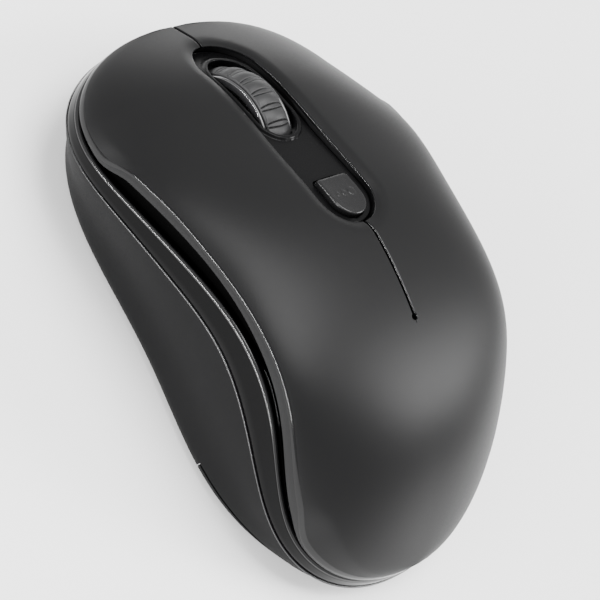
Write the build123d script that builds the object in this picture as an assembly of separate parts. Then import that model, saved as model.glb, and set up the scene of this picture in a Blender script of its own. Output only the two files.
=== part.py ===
from build123d import *
from math import cos, pi, sin
import os
import numpy as np

# Wireless mouse, millimetres. +Y is the front with the buttons, +X the right, +Z up.
# The origin is the centre of the footprint on the table.

# Body outline, seen from above
half_length = 52.5
base_half_length = 49.7
corner_power = 4.0  # squareness of the nose and tail
side_power = 2.15  # fullness of the flanks
flare_power = 1.2  # how late the flank swells out to its widest level
plan_knots = [-52.5, -26.25, 0.0, 26.25, 52.5]
top_widths = [30.3, 30.0, 30.6, 34.5, 39.1]  # half width before the ends round off
base_widths = [25.6, 29.0, 27.9, 29.3, 29.6]

# Heights along the body, from tail to nose
height_knots = [-52.5, -37.5, -22.5, -7.5, 7.5, 22.5, 37.5, 52.5]
crown_heights = [9.3, 26.5, 34.3, 36.7, 35.6, 31.0, 25.8, 15.6]
edge_heights = [7.9, 13.9, 25.0, 29.2, 27.4, 22.8, 16.4, 15.5]  # lower edge of the cover
groove_heights = [0.9, 1.1, 1.9, 2.4, 3.1, 2.8, 1.2, 1.4]  # open groove under the cover
band_heights = [3.0, 3.9, 6.6, 6.0, 5.1, 4.0, 3.2, 3.6]  # gloss band under the groove
lip_heights = [0.3, 2.4, 2.7, 2.2, 2.3, 2.7, 0.3, 0.3]  # upright lip of the cover edge
dome_power = 2.35
dome_root = 2.0

# Walls and levels
wall = 1.8
floor_bottom = 0.8
floor_top = 2.6
rear_floor_bottom = 2.8
rear_floor_top = 4.2
bottom_round = 0.8
reach = 60.0  # half size of cutting blocks

# Cover, buttons and centre strip
hinge_y = -15.0
hinge_gap = 0.2  # half of the gap between palm cover and buttons
button_sink = 0.013  # how far a pressed button drops for each millimetre from its hinge
frame_gap = 0.15
frame_overlap = 1.5  # how far the inner frame reaches down behind the band
slot_half = 0.25
slot_end_radius = 0.55
recess_half = 6.5
recess_rear = 3.6
recess_front = 46.1
deck_gap = 0.35
deck_thickness = 1.6
deck_drop = 1.5  # deck below the crown of the cover at mid length
deck_slope = 0.02
rim_width = 0.9  # raised rim round the wheel window
rim_rise = 0.6
window_half = 4.6
window_rear = 23.6
window_front = 42.6
key_half = 3.8
key_rear = 5.1
key_front = 13.4
key_rise = 1.2
key_gap = 0.3

# Wheel and its carrier
wheel_y = 29.5
wheel_z = 16.3
tyre_radius = 12.6
tyre_half = 2.8
hub_half = 3.6
hub_radius = 11.6
rim_inner = 9.6
axle_radius = 1.1
axle_bore = 1.2
cheek_inner = 6.3
cheek_outer = 7.5
carrier_low = 10.4
carrier_high = 13.6
pivot_y = 12.3
pivot_z = 12.0
pin_radius = 0.9
pin_bore = 0.95

# Boards and switches
board_low = 5.6
board_high = 7.2
switch_x = 14.5
switch_y = 36.4
plunger_y = 39.5
key_board_high = 25.6

# Battery, receiver and door
cell_radius = 7.1
cell_z = 9.7
cell_rear = -43.6
cell_front = 5.9
door_front = -20.8
tongue_half = 8.0
tongue_front = 3.0
receiver_x = 15.6
receiver_z = 5.9
cap_rear = -26.8
cap_front = -20.5
plug_length = 12.0
plug_half = 6.0


def natural_curve(knots, values, at):
    # cubic curve through the knots with no bending at either end
    knots = np.array(knots, float)
    values = np.array(values, float)
    step = np.diff(knots)
    count = len(knots)
    system = np.eye(count)
    right = np.zeros(count)
    for i in range(1, count - 1):
        system[i, i - 1 : i + 2] = [step[i - 1], 2 * (step[i - 1] + step[i]), step[i]]
        slopes = np.diff(values[i - 1 : i + 2]) / step[i - 1 : i + 1]
        right[i] = 6 * (slopes[1] - slopes[0])
    bend = np.linalg.solve(system, right)
    i = int(np.clip(np.searchsorted(knots, at) - 1, 0, count - 2))
    before = (knots[i + 1] - at) / step[i]
    after = (at - knots[i]) / step[i]
    line = before * values[i] + after * values[i + 1]
    curve = (before**3 - before) * bend[i] + (after**3 - after) * bend[i + 1]
    return float(line + curve * step[i] ** 2 / 6)


def crown(y):
    return natural_curve(height_knots, crown_heights, y)


def cover_edge(y):
    return natural_curve(height_knots, edge_heights, y)


def lip(y):
    return max(0.3, natural_curve(height_knots, lip_heights, y))


def band_top(y):
    return cover_edge(y) - natural_curve(height_knots, groove_heights, y)


def crease(y):
    return band_top(y) - natural_curve(height_knots, band_heights, y)


def rounding(u):
    return max(0.0, 1 - abs(u) ** corner_power) ** (1 / side_power)


def half_width(y):
    return natural_curve(plan_knots, top_widths, y) * rounding(y / half_length)


def deck_top(y):
    return crown(y) - deck_drop - deck_slope * y


def outline_point(b, z, inset):
    # b runs from -90 to 90 degrees, tail to nose, on the right flank
    u = sin(b)
    y = half_length * u
    rise = (z - floor_bottom) / (crease(y) - floor_bottom)
    swell = min(1.0, max(0.0, rise)) ** flare_power
    low = natural_curve(plan_knots, base_widths, y)
    high = natural_curve(plan_knots, top_widths, y)
    wide = (low + (high - low) * swell - inset) * rounding(u)
    long = base_half_length + (half_length - base_half_length) * swell - inset
    return wide, long * u


def outline(z, inset):
    steps = 18
    right_side = [outline_point(-pi / 2 + pi * i / steps, z, inset) for i in range(steps + 1)]
    left_side = [(-x, y) for x, y in reversed(right_side[1:-1])]
    points = [Vector(x, y, z) for x, y in right_side + left_side]
    shares = [i / len(points) for i in range(len(points) + 1)]
    return Face(Wire([Edge.make_spline(points, periodic=True, parameters=shares)]))


def body(inset=0.0, low=floor_bottom):
    levels = [z for z in (2.0, 6.0, 11.0, 17.0, 24.0, 32.0) if z > low + 0.5]
    start = outline(low, inset + bottom_round if low == floor_bottom else inset)
    return loft([start] + [outline(z, inset) for z in levels])


def under(curve):
    # everything below a height curve that runs from tail to nose
    ys = [-reach + 2 * reach * i / 24 for i in range(25)]
    clamp = [min(max(y, -half_length), half_length) for y in ys]
    top = [Vector(-reach, y, curve(c)) for y, c in zip(ys, clamp)]
    low_rear = Vector(-reach, -reach, -10)
    low_front = Vector(-reach, reach, -10)
    sides = [Edge.make_line(top[-1], low_front), Edge.make_line(low_front, low_rear)]
    sides.append(Edge.make_line(low_rear, top[0]))
    face = Face(Wire([Edge.make_spline(top)] + sides))
    return Solid.extrude(face, Vector(2 * reach, 0, 0))


def block(x0, x1, y0, y1, z0, z1):
    size = Box(x1 - x0, y1 - y0, z1 - z0)
    return Pos((x0 + x1) / 2, (y0 + y1) / 2, (z0 + z1) / 2) * size


def post(x, y, z0, z1, radius):
    return Pos(x, y, (z0 + z1) / 2) * Cylinder(radius, z1 - z0)


def rod_x(y, z, x0, x1, radius):
    return Pos((x0 + x1) / 2, y, z) * Rot(0, 90, 0) * Cylinder(radius, x1 - x0)


def rod_y(x, z, y0, y1, radius):
    return Pos(x, (y0 + y1) / 2, z) * Rot(90, 0, 0) * Cylinder(radius, y1 - y0)


def racetrack(half, rear, front, z0, z1):
    sketch = Pos(0, (rear + front) / 2) * SlotOverall(front - rear, 2 * half, rotation=90)
    return extrude(Pos(0, 0, z0) * sketch, z1 - z0)


def key_shape(grow, z0, z1):
    # straight front edge and a round rear end
    half = key_half + grow
    rear = key_rear - grow
    front = key_front + grow
    plan = Pos(0, (rear + half + front) / 2) * Rectangle(2 * half, front - rear - half)
    plan += Pos(0, rear + half) * Circle(half)
    plan = fillet(plan.vertices().group_by(Axis.Y)[-1], 1.0 + grow)
    return extrude(Pos(0, 0, z0) * plan, z1 - z0)


def arch(y, inset):
    # cross-section of the cover: crown, round shoulders, upright lip, open below
    stretch = half_length / (half_length - inset)
    outer_y = y * stretch
    half = half_width(outer_y) - inset
    edge = cover_edge(outer_y) + lip(outer_y)
    height = crown(outer_y) - edge
    low = cover_edge(outer_y) - (3.0 if inset else 0.0)
    count = 14
    points = []
    for i in range(count + 1):
        r = sin(-pi / 2 + pi * i / count)
        rise = max(0.0, 1 - abs(r) ** dome_power) ** (1 / dome_root)
        points.append(Vector(half * r, y, edge - inset + height * rise))
    low_left = Vector(-half, y, low)
    low_right = Vector(half, y, low)
    sides = [Edge.make_line(points[-1], low_right), Edge.make_line(low_right, low_left)]
    sides.append(Edge.make_line(low_left, points[0]))
    shares = [i / count for i in range(count + 1)]
    return Face(Wire([Edge.make_spline(points, parameters=shares)] + sides))


def dome(inset=0.0):
    ends = half_length - 0.5 - inset
    shares = [-1, -0.96, -0.9, -0.8, -0.66, -0.48, -0.27, -0.05, 0.18, 0.4, 0.62, 0.78, 0.89, 0.96, 1]
    return loft([arch(ends * share, inset) for share in shares])


def make_cover():
    shell = dome() - dome(wall)
    shell -= racetrack(recess_half, recess_rear, recess_front, 0, reach)
    shell -= block(-slot_half, slot_half, hinge_y, recess_rear + 3, 0, reach)
    shell -= block(-slot_half, slot_half, recess_front - 3, reach, 0, reach)
    shell -= post(0, hinge_y, 0, reach, slot_end_radius)
    return shell


def make_palm(shell):
    palm = shell & block(-reach, reach, -reach, hinge_y - hinge_gap, 0, reach)
    inside = dome(wall)
    for side in (-1, 1):
        boss = post(side * 12, -43.5, rear_floor_top, 24, 2.8) & inside
        palm += boss
        palm -= post(side * 12, -43.5, 0, 12.5, 1.0)
    return palm


def make_button(shell, side):
    x0, x1 = sorted((side * slot_half, side * reach))
    tongue = shell & block(x0, x1, hinge_y + hinge_gap, reach, 0, reach)
    tongue = max(tongue.solids(), key=lambda s: s.volume)
    x = side * switch_x
    presser = block(x - 1.5, x + 1.5, plunger_y - 1.5, plunger_y + 1.5, 14.4, 30)
    return tongue + (presser & dome(wall - 0.3))


def make_base():
    step_y = door_front + 0.3
    room = body(wall, floor_top) - block(-reach, reach, -reach, step_y, 0, rear_floor_top)
    tub = (body() & under(crease)) - room
    tub -= [
        block(-reach, reach, -reach, step_y, 0, rear_floor_bottom),
        block(-tongue_half - 0.3, tongue_half + 0.3, -30, tongue_front + 0.3, 0, rear_floor_bottom),
        block(-7.6, 7.6, -46.9, 0, 0, rear_floor_top),
        block(receiver_x - 7.4, receiver_x + 7.4, -35.3, step_y + 0.2, 0, rear_floor_top),
        post(0, 12.4, 0, floor_top + 1, 4.6),
        block(-17.2, -10.8, 20.4, 23.6, 0, floor_top + 1),
    ]
    tub += make_base_supports()
    holes = [post(x, -43.5, 0, reach, 1.0) for x in (-12, 12)]
    holes += [post(x, -43.5, 0, 3.8, 2.4) for x in (-12, 12)]
    holes += [post(x, y, 3.4, reach, 1.0) for x in (-21, 21) for y in (15, 30)]
    return tub - holes


def make_base_supports():
    # walls at both ends of the cell, its saddles, the board posts and the plug guides
    supports = [block(-8, 8, cell_front + 1.5, cell_front + 2.1, floor_top, 14)]
    supports.append(block(-6, 6, cell_rear - 3.8, cell_rear - 2.9, rear_floor_top, 9.0))
    for y in (-16, 0):
        saddle = block(-9.6, 9.6, y - 1, y + 1, floor_top, 8.5)
        saddle -= rod_y(0, cell_z, y - 2, y + 2, cell_radius + 0.05)
        supports.append(saddle - block(-7.6, 7.6, y - 2, y + 2, 0, 5))
    supports += [post(x, y, floor_top, board_low, 2.2) for x in (-21, 21) for y in (15, 30)]
    for x0 in (receiver_x - plug_half - 1.3, receiver_x + plug_half + 0.3):
        supports.append(block(x0, x0 + 1.0, -19.6, -7.0, floor_top, 7.0))
    return supports


def make_trim():
    ring = body() - body(1.6, -2.0)
    return ring & (under(band_top) - under(lambda y: crease(y) + 0.02))


def frame_top(y):
    # just under the cover, and lower towards the nose where the buttons sink
    return cover_edge(y) - frame_gap - button_sink * max(0.0, y - hinge_y)


def frame_bottom(y):
    low = crease(y) - frame_overlap
    return max(low, rear_floor_top + 0.1) if y < door_front else low


def make_inner_frame():
    ring = (body(2.4, -1.0) & under(frame_top)) - body(3.6, -2.0)
    return ring - under(frame_bottom)


def make_deck():
    strip = racetrack(recess_half - deck_gap, recess_rear + deck_gap, recess_front - deck_gap, 0, reach)
    slab = under(deck_top) - under(lambda y: deck_top(y) - deck_thickness)
    deck = strip & slab
    rim = racetrack(window_half + rim_width, window_rear - rim_width, window_front + rim_width, 0, reach)
    deck += rim & (under(lambda y: deck_top(y) + rim_rise) - under(lambda y: deck_top(y) - 1.0))
    for side in (-1, 1):
        x0, x1 = sorted((side * 4.7, side * 5.8))
        for y0 in (17, 38):
            deck += block(x0, x1, y0, y0 + 4, floor_top, 34) & under(lambda y: deck_top(y) - 0.5)
        deck += block(x0, x1, 4.8, 6.4, key_board_high, 34) & under(lambda y: deck_top(y) - 0.5)
    deck -= racetrack(window_half, window_rear, window_front, 15, reach)
    deck -= rod_x(wheel_y, wheel_z, -window_half, window_half, tyre_radius + 0.4)
    return deck - key_shape(key_gap, 25.0, reach) - key_shape(0.9, 25.0, 30.4)


def make_key():
    cap = key_shape(0, 29.8, reach) & under(lambda y: deck_top(y) + key_rise)
    cap += key_shape(0.5, 29.6, 30.0)
    return cap


def make_tyre():
    shoulder = tyre_radius - 0.9
    bore = rim_inner + 0.63
    seat = tyre_half - 0.3
    tread = ThreePointArc((-tyre_half, shoulder), (0, tyre_radius), (tyre_half, shoulder))
    inside = Polyline((tyre_half, shoulder), (seat, bore), (-seat, bore), (-tyre_half, shoulder))
    ring = revolve(make_face(tread + inside), Axis.X)
    grooves = 24
    cut = Pos(0, 0, tyre_radius) * Box(2 * tyre_half - 1.2, 0.5, 0.9)
    angles = [360 * i / grooves + shift for i in range(grooves) for shift in (-2.0, 2.0)]
    ring -= [Rot(angle, 0, 0) * cut for angle in angles]
    return Pos(0, wheel_y, wheel_z) * ring


def make_hub():
    drum = Rot(0, 90, 0) * Cylinder(rim_inner + 0.6, 2 * tyre_half)
    for side in (-1, 1):
        flange = Rot(0, 90, 0) * Cylinder(hub_radius, hub_half - tyre_half)
        drum += Pos(side * (tyre_half + hub_half) / 2, 0, 0) * flange
    for side in (-1, 1):
        hollow = Rot(0, 90, 0) * (Cylinder(rim_inner - 0.4, 2.6) - Cylinder(3.0, 2.6))
        drum -= Pos(side * (hub_half - 1.0), 0, 0) * hollow
    drum -= Rot(0, 90, 0) * Cylinder(axle_radius, 3 * hub_half)
    return Pos(0, wheel_y, wheel_z) * drum


def make_carrier():
    frame = Part()
    for side in (-1, 1):
        x0, x1 = sorted((side * cheek_inner, side * cheek_outer))
        frame += block(x0, x1, 10.8, 46.5, carrier_low, carrier_high)
        frame += block(x0, x1, wheel_y - 3.5, wheel_y + 3.5, carrier_low, wheel_z)
        frame += rod_x(wheel_y, wheel_z, x0, x1, 3.5)
    frame += block(-cheek_outer, cheek_outer, 10.8, 13.8, carrier_low, carrier_high)
    frame += block(-cheek_outer, cheek_outer, 43.2, 46.5, 12.4, carrier_high)
    frame -= rod_x(wheel_y, wheel_z, -reach, reach, axle_bore)
    return frame - rod_x(pivot_y, pivot_z, -reach, reach, pin_radius)


def make_bracket(side):
    x0, x1 = sorted((side * 7.8, side * 9.6))
    return block(x0, x1, 10.5, 14.1, board_high, 14.0) - rod_x(pivot_y, pivot_z, x0 - 1, x1 + 1, pin_bore)


def coil(radius, wire, height, turns):
    path = Helix(height / turns, height, radius)
    section = Plane(origin=path @ 0, z_dir=path % 0) * Circle(wire)
    return sweep(section, path=path)


def make_board():
    corners = [(-24.5, 8.2), (24.5, 8.2), (24.5, 31), (21, 39.5), (11.5, 47.2)]
    corners += [(-11.5, 47.2), (-21, 39.5), (-24.5, 31)]
    plan = make_face(Polyline(*corners, close=True))
    plate = extrude(Pos(0, 0, board_low) * plan, board_high - board_low)
    plate -= block(-8.6, 8.6, 16.6, 43.0, 0, reach)
    plate -= block(8, 11.2, 24.5, 34.5, 0, reach)
    plate -= post(0, 12.4, 0, reach, 2.2)
    for side in (-1, 1):
        for y in (15, 30):
            plate -= post(side * 21, y, 0, reach, 1.0)
    return plate


def make_switch(x, y, z, size, press_y, radius):
    width, length, height = size
    case = block(x - width / 2, x + width / 2, y - length / 2, y + length / 2, z, z + height)
    return case - post(x, press_y, z + height - 2.0, z + height + 1, radius + 0.25)


def make_plunger(x, y, top, radius, length):
    return post(x, y, top - length, top, radius)


def make_screw(x, y, z_head, head, z_tip):
    upward = 1 if z_tip > z_head else -1
    low, high = sorted((z_head, z_head + upward * head))
    shank_low, shank_high = sorted((z_head + upward * head, z_tip))
    screw = post(x, y, low, high, 2.1) + post(x, y, shank_low, shank_high, 1.0)
    drive = block(x - 1.3, x + 1.3, y - 0.25, y + 0.25, z_head - 0.4, z_head + 0.4)
    drive += block(x - 0.25, x + 0.25, y - 1.3, y + 1.3, z_head - 0.4, z_head + 0.4)
    return screw - drive


def make_door():
    plate = body() & block(-reach, reach, -reach, door_front, 0, floor_top - 0.2)
    plate += block(-tongue_half, tongue_half, door_front - 1, tongue_front, floor_bottom, floor_top - 0.2)
    for i in range(4):
        plate -= block(-5, 5, -12 - 2.4 * i, -11 - 2.4 * i, 0, floor_bottom + 0.4)
    return plate


def make_cap():
    x0 = receiver_x - 7.05
    x1 = receiver_x + 7.05
    cap = block(x0 + 0.5, x1 - 0.5, cap_rear, cap_front, receiver_z - 2.7, receiver_z + 2.7)
    cap += block(x0, x1, cap_rear, cap_rear + 0.8, receiver_z - 2.7, receiver_z + 2.7)
    cap += block(x0, x1, cap_front - 0.8, cap_front, receiver_z - 2.7, receiver_z + 2.7)
    for i in range(4):
        y = cap_rear + 1.5 + 1.1 * i
        cap += block(x0, x1, y, y + 0.5, receiver_z - 2.2, receiver_z + 2.2)
    return cap


def make_plug():
    high = receiver_z + 2.25
    low = high - 4.5
    front = cap_front + plug_length
    tube = block(receiver_x - plug_half, receiver_x + plug_half, cap_front, front, low, high)
    tube -= block(receiver_x - 5.7, receiver_x + 5.7, cap_front + 1, front + 1, low + 0.3, high - 0.3)
    for side in (-1, 1):
        x = receiver_x + side * 3.0
        tube -= block(x - 1.25, x + 1.25, cap_front + 4.6, cap_front + 7.0, 0, 20)
        x = receiver_x + side * 2.6
        tube -= block(x - 0.5, x + 0.5, cap_front - 0.1, cap_front + 0.8, receiver_z, 20)
    return tube


def make_pad(x, y, length, width):
    pad = SlotOverall(length, width)
    return extrude(Pos(x, y, 0) * pad, floor_bottom)


def make_arc_pad(y, radius, spread, side):
    # crescent that follows the round end of the body
    ring = Circle(radius) - Circle(radius - 4.5)
    wedge = Pos(0, side * (radius - 5)) * Rectangle(2 * spread, 14)
    return extrude(Pos(0, y, 0) * (ring & wedge), floor_bottom)


shell = make_cover()
tact = (6.0, 6.0, 3.3)
micro = (5.8, 12.8, 6.5)
parts = {
    "base_shell": make_base(),
    "trim_band": make_trim(),
    "inner_frame": make_inner_frame(),
    "palm_cover": make_palm(shell),
    "left_button": make_button(shell, -1),
    "right_button": make_button(shell, 1),
    "centre_deck": make_deck(),
    "resolution_key": make_key(),
    "key_board": block(-6, 6, 4.2, 14.6, key_board_high - 1.2, key_board_high),
    "key_switch": make_switch(0, 9.3, key_board_high, tact, 9.3, 1.5),
    "key_plunger": make_plunger(0, 9.3, 29.5, 1.5, 1.8),
    "wheel_tyre": make_tyre(),
    "wheel_hub": make_hub(),
    "wheel_axle": rod_x(wheel_y, wheel_z, -7.4, 10.4, axle_radius),
    "encoder_case": block(7.6, 11.0, wheel_y - 3.6, wheel_y + 3.6, 11.0, 21.0)
    - rod_x(wheel_y, wheel_z, 7, 10.6, axle_bore),
    "wheel_carrier": make_carrier(),
    "carrier_pin": rod_x(pivot_y, pivot_z, -9.4, 9.4, pin_radius),
    "left_pivot_bracket": make_bracket(-1),
    "right_pivot_bracket": make_bracket(1),
    "carrier_spring": Pos(-4.8, 45.0, board_high + 0.3) * coil(0.9, 0.2, 4.5, 5),
    "middle_switch": make_switch(0, 45.2, board_high, (6.0, 4.0, 4.5), 45.2, 0.8),
    "middle_plunger": make_plunger(0, 45.2, 12.3, 0.8, 1.7),
    "main_board": make_board(),
    "sensor_chip": block(-4, 4, 8.8, 16.0, board_high, board_high + 1.8),
    "sensor_lens": post(0, 12.4, 1.8, 4.4, 4.3) + post(0, 12.4, 4.4, board_low, 2.6),
    "sensor_lamp": block(5.2, 7.2, 10.2, 12.2, board_high, board_high + 1.4),
    "controller_chip": block(-19.5, -12.5, 18.0, 25.0, board_high, board_high + 1.1),
    "crystal": block(-18, -13, 11.0, 13.4, board_high, board_high + 1.2),
    "capacitors": post(15.0, 18.0, board_high, board_high + 5.0, 2.0)
    + post(15.0, 24.0, board_high, board_high + 5.0, 2.0),
    "battery": rod_y(0, cell_z, cell_rear, cell_front, cell_radius)
    + rod_y(0, cell_z, cell_front - 1, cell_front + 1, 2.7),
    "battery_spring": Pos(0, cell_rear - 0.4, cell_z - 2.0) * Rot(90, 0, 0) * coil(3.4, 0.35, 2.1, 2.5),
    "battery_contact": block(-4.5, 4.5, cell_front + 1.1, cell_front + 1.5, 5.0, 14.0),
    "battery_door": make_door(),
    "power_switch": block(-18.4, -9.6, 20.0, 24.0, 3.5, board_low),
    "power_slider": block(-17.8, -12.6, 20.0, 24.0, 2.75, 3.35) + block(-16.9, -13.5, 20.7, 23.3, 1.0, 3.0),
    "receiver_cap": make_cap(),
    "receiver_shell": make_plug(),
    "receiver_tongue": block(
        receiver_x - 5.5, receiver_x + 5.5, cap_front + 1, cap_front + 11.2, 5.0, 6.9
    ),
    "front_foot": make_arc_pad(9.0, 36.0, 14.0, 1),
    "side_feet": make_pad(-22.0, -14.0, 9.0, 4.5) + make_pad(22.0, -14.0, 9.0, 4.5),
    "rear_foot": make_arc_pad(-13.0, 33.5, 10.0, -1),
    "sensor_ring": post(0, 12.4, 1.0, 1.8, 4.3) - post(0, 12.4, 0.9, 2.0, 3.1),
    "label": block(-10.0, 10.0, 24.0, 38.0, floor_bottom - 0.15, floor_bottom),
    "left_switch": make_switch(-switch_x, switch_y, board_high, micro, plunger_y, 1.0),
    "right_switch": make_switch(switch_x, switch_y, board_high, micro, plunger_y, 1.0),
    "left_plunger": make_plunger(-switch_x, plunger_y, 14.3, 1.0, 1.8),
    "right_plunger": make_plunger(switch_x, plunger_y, 14.3, 1.0, 1.8),
    "cover_screws": make_screw(-12, -43.5, 2.9, 0.9, 11.5) + make_screw(12, -43.5, 2.9, 0.9, 11.5),
    "board_screws": Part() + [make_screw(x, y, 8.4, 1.2, 3.6) for x in (-21, 21) for y in (15, 30)],
}

os.makedirs("parts", exist_ok=True)
for name, part in parts.items():
    export_step(part, f"parts/{name}.step")
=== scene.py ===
import math
import bmesh
import bpy
import numpy as np
from mathutils import Matrix, Quaternion, Vector


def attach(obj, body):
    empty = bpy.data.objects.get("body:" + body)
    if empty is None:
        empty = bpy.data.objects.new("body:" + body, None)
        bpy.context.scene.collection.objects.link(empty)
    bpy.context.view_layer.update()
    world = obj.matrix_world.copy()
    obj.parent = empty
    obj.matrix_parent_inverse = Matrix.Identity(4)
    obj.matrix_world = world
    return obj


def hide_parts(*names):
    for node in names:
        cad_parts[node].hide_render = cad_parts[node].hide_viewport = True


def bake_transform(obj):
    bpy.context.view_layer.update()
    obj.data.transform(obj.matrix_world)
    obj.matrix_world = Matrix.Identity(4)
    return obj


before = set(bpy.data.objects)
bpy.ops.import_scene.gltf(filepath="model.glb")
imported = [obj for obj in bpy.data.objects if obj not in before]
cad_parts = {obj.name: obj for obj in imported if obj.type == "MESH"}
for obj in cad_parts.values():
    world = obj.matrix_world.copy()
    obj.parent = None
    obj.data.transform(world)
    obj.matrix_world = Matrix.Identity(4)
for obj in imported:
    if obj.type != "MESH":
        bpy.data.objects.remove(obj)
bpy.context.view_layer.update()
print("frame loaded")

mm = 0.001  # shapes are worked out in millimetres and scaled when their mesh is made

bodyShape = {
    "halfLength": 52.5,
    "baseHalfLength": 49.7,
    "cornerPower": 4.0,
    "sidePower": 2.15,
    "flarePower": 1.2,
    "floor": 0.8,
    "planKnots": [-52.5, -26.25, 0.0, 26.25, 52.5],
    "topWidths": [30.3, 30.0, 30.6, 34.5, 39.1],
    "baseWidths": [25.6, 29.0, 27.9, 29.3, 29.6],
    "heightKnots": [-52.5, -37.5, -22.5, -7.5, 7.5, 22.5, 37.5, 52.5],
    "crown": [9.3, 26.5, 34.3, 36.7, 35.6, 31.0, 25.8, 15.6],
    "edge": [7.9, 13.9, 25.0, 29.2, 27.4, 22.8, 16.4, 15.5],
    "groove": [0.9, 1.1, 1.9, 2.4, 3.1, 2.8, 1.2, 1.4],
    "band": [3.0, 3.9, 6.6, 6.0, 5.1, 4.0, 3.2, 3.6],
    "lip": [0.3, 2.4, 2.7, 2.2, 2.3, 2.7, 0.3, 0.3],
    "lipStart": 31.5, "lipFull": 25.0,  # from the nose back, the lip grows between these
    "lipLeast": 0.3, "lipTall": 2.8, "lipTallFrom": 22.5, "lipSpread": 0.06,
    "edgeLift": 0.6, "liftFrom": -12.0, "liftLength": 22.0, "frontGap": 0.85,
    "tailStart": -35.0, "tailFull": -41.5, "tailGap": 0.22, "tailSpread": 0.14,  # groove and lip close here
    "domePower": 2.35,
    "domeRoot": 2.0,
    "domeReach": 1.03,  # the dome's own half width over the cover's, so it meets the lip at an angle
    "leastWidth": 0.01,
}


# curves of the body

# cubic through the knots with no bending at the ends, for whole arrays at once
def naturalCurve(knots, values):
    knots, values = np.array(knots, float), np.array(values, float)
    step = np.diff(knots)
    count = len(knots)
    system, right = np.eye(count), np.zeros(count)
    for i in range(1, count - 1):
        system[i, i - 1:i + 2] = [step[i - 1], 2 * (step[i - 1] + step[i]), step[i]]
        right[i] = 6 * ((values[i + 1] - values[i]) / step[i] - (values[i] - values[i - 1]) / step[i - 1])
    bend = np.linalg.solve(system, right)

    def curve(at):
        at = np.asarray(at, float)
        i = np.clip(np.searchsorted(knots, at) - 1, 0, count - 2)
        before, after = (knots[i + 1] - at) / step[i], (at - knots[i]) / step[i]
        line = before * values[i] + after * values[i + 1]
        bent = (before ** 3 - before) * bend[i] + (after ** 3 - after) * bend[i + 1]
        return line + bent * step[i] ** 2 / 6

    return curve


def heightCurve(key):
    return naturalCurve(bodyShape["heightKnots"], bodyShape[key])


crown, plainEdge, groove, band = [heightCurve(key) for key in ("crown", "edge", "groove", "band")]
fullLip = heightCurve("lip")
topWidth = naturalCurve(bodyShape["planKnots"], bodyShape["topWidths"])
baseWidth = naturalCurve(bodyShape["planKnots"], bodyShape["baseWidths"])
halfLength = bodyShape["halfLength"]


def smooth(t):
    t = np.clip(t, 0, 1)
    return t * t * (3 - 2 * t)


# one over the length of the open groove, none at the tail where it has closed
def grooveOpen(y):
    s = bodyShape
    return smooth((y - s["tailFull"]) / (s["tailStart"] - s["tailFull"]))


# lower edge of the cover: close over the band at the nose and tail, raised a little between
def coverEdge(y):
    s = bodyShape
    corner = smooth((s["lipStart"] - y) / (s["lipStart"] - s["lipFull"]))
    raised = plainEdge(y) + s["edgeLift"] * smooth((y - s["liftFrom"]) / s["liftLength"])
    close = np.minimum(plainEdge(y), bandTop(y) + s["frontGap"])
    side = close + (raised - close) * corner
    tail = bandTop(y) + s["tailGap"]
    return tail + (side - tail) * grooveOpen(y)


# lip as the dome sees it, fading slowly towards the nose
def softLip(y):
    return np.maximum(bodyShape["lipLeast"], fullLip(y))


# lip at the very edge: a short S-shaped corner where it starts
def lip(y):
    s = bodyShape
    share = smooth((s["lipStart"] - y) / (s["lipStart"] - s["lipFull"]))
    least = s["lipLeast"]
    tall = np.where(y > s["lipTallFrom"], s["lipTall"], softLip(y))
    return least + (tall - least) * share * grooveOpen(y)


def bandTop(y):
    return plainEdge(y) - groove(y)


def crease(y):
    return bandTop(y) - band(y)


# share of the full width left at a share u of the half length
def rounding(u):
    return np.maximum(0.0, 1 - np.abs(u) ** bodyShape["cornerPower"]) ** (1 / bodyShape["sidePower"])


def halfWidth(y):
    return topWidth(y) * rounding(y / halfLength)


# crown height falls to the lip's top along a root of one minus a power of the share of the width
def domeHeight(x, y):
    s = bodyShape
    power, root, reach = s["domePower"], s["domeRoot"], s["domeReach"]
    share = np.clip(np.abs(x) / np.maximum(halfWidth(y), s["leastWidth"]), 0, 1) / reach
    atEdge = (1 - (1 / reach) ** power) ** (1 / root)
    fall = ((1 - share ** power) ** (1 / root) - atEdge) / (1 - atEdge)
    edge = plainEdge(y) + softLip(y)
    spread = s["lipSpread"] + (s["tailSpread"] - s["lipSpread"]) * (1 - grooveOpen(y))
    near = smooth((share * reach - 1 + spread) / spread)
    return edge + (crown(y) - edge) * fall + (lip(y) - softLip(y)) * near


# signed distance in plan to a racetrack that runs along Y
def racetrackDistance(x, y, half, rear, front):
    alongY = y - np.clip(y, rear + half, front - half)
    return np.hypot(x, alongY) - half


# half width of that racetrack at y
def racetrackWidth(y, half, rear, front):
    alongY = y - np.clip(y, rear + half, front - half)
    return np.sqrt(np.maximum(0.0, half ** 2 - alongY ** 2))


# meshes

meshLimits = {"merge": 2e-6, "flat": 1e-7, "middle": 1e-7, "smoothAngle": 32}  # lengths in metres


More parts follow.
